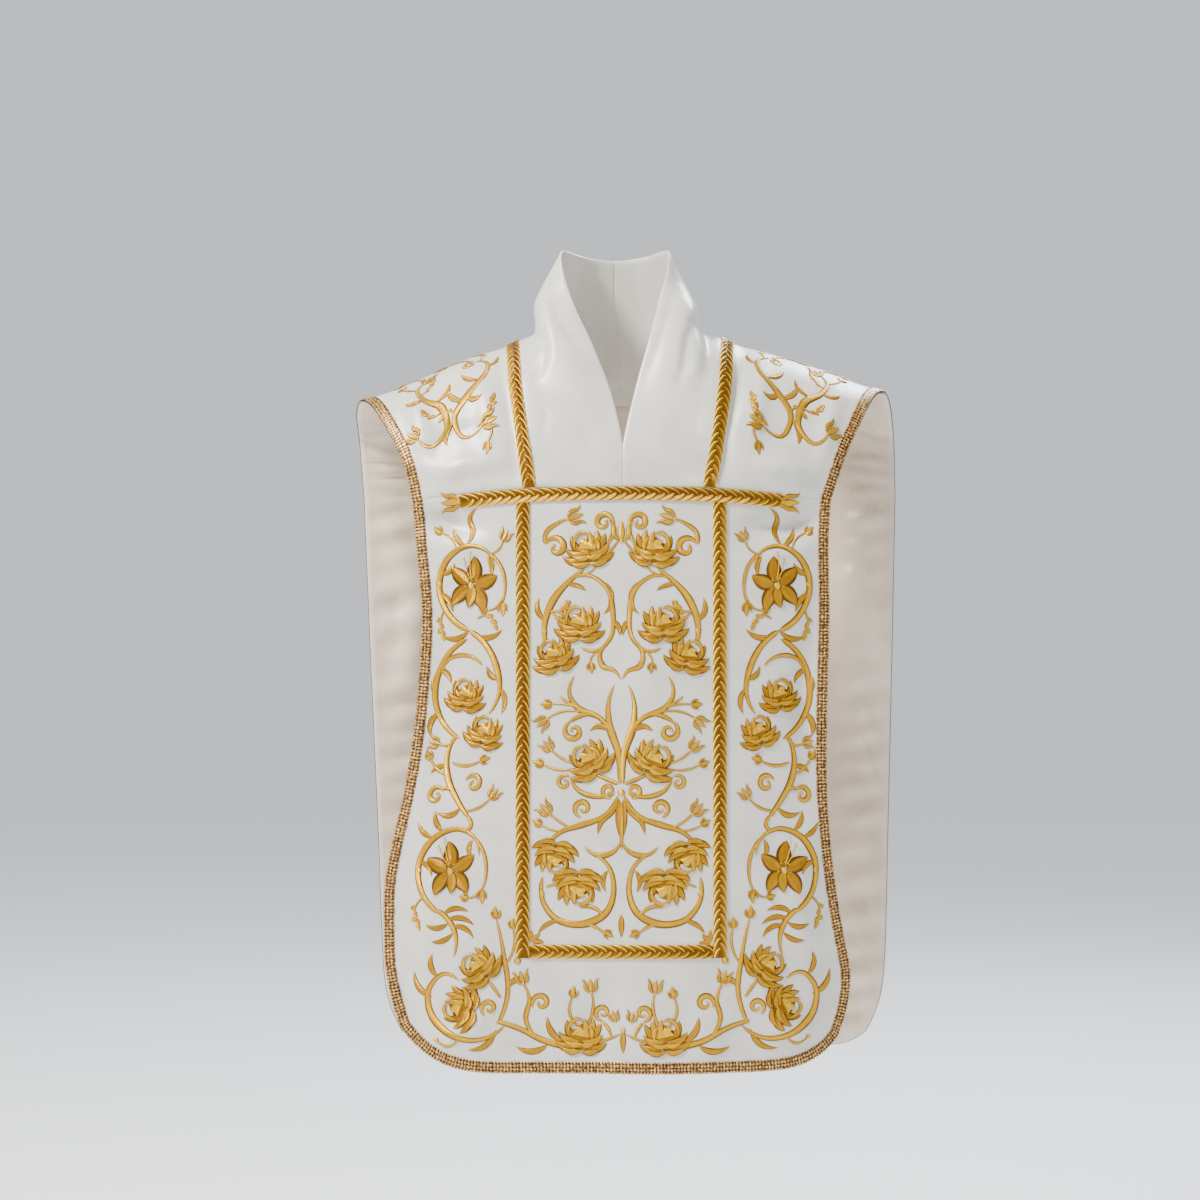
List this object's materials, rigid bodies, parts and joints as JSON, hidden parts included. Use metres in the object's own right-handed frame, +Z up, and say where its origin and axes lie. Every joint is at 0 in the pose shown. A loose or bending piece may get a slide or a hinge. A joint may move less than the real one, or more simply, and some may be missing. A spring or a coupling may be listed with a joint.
{
  "type": "roman chasuble",
  "caption": "Worn fiddleback vestment: stiff front and longer back joined over the shoulders, open sides, V neck in a tall stand-up collar, plaited braids and edge galloon.",
  "frame": {"origin": "centre of the neck at the height of the shoulder ridge, where the wearer holds the garment up", "axes": "+Z up, +X to the viewer's right as the front is seen, -Y out of the front panel"},
  "size_m": [0.6859, 0.3181, 1.025],
  "materials": {
    "ivory_satin": "stiffened ivory satin with a fine cross rib and a soft sheen",
    "champagne_lining": "smooth champagne satin lining",
    "gold_braid": "plaited satin-stitch braid and embroidery in light and deep gold thread",
    "old_gold_galloon": "narrow woven edge galloon of dull metallic gold thread"
  },
  "bodies": {
    "root": {"front_panel": "ivory_satin", "back_panel": "ivory_satin", "neck_left": "ivory_satin", "neck_right": "ivory_satin", "back_lining": "champagne_lining", "edge_galloon": "old_gold_galloon", "crossbar_braid": "gold_braid", "column_braid_left": "gold_braid", "column_braid_right": "gold_braid", "front_bar_braid": "gold_braid", "shoulder_braid_left": "gold_braid", "shoulder_braid_right": "gold_braid", "back_bar_braid": "gold_braid"}
  },
  "joints": []
}
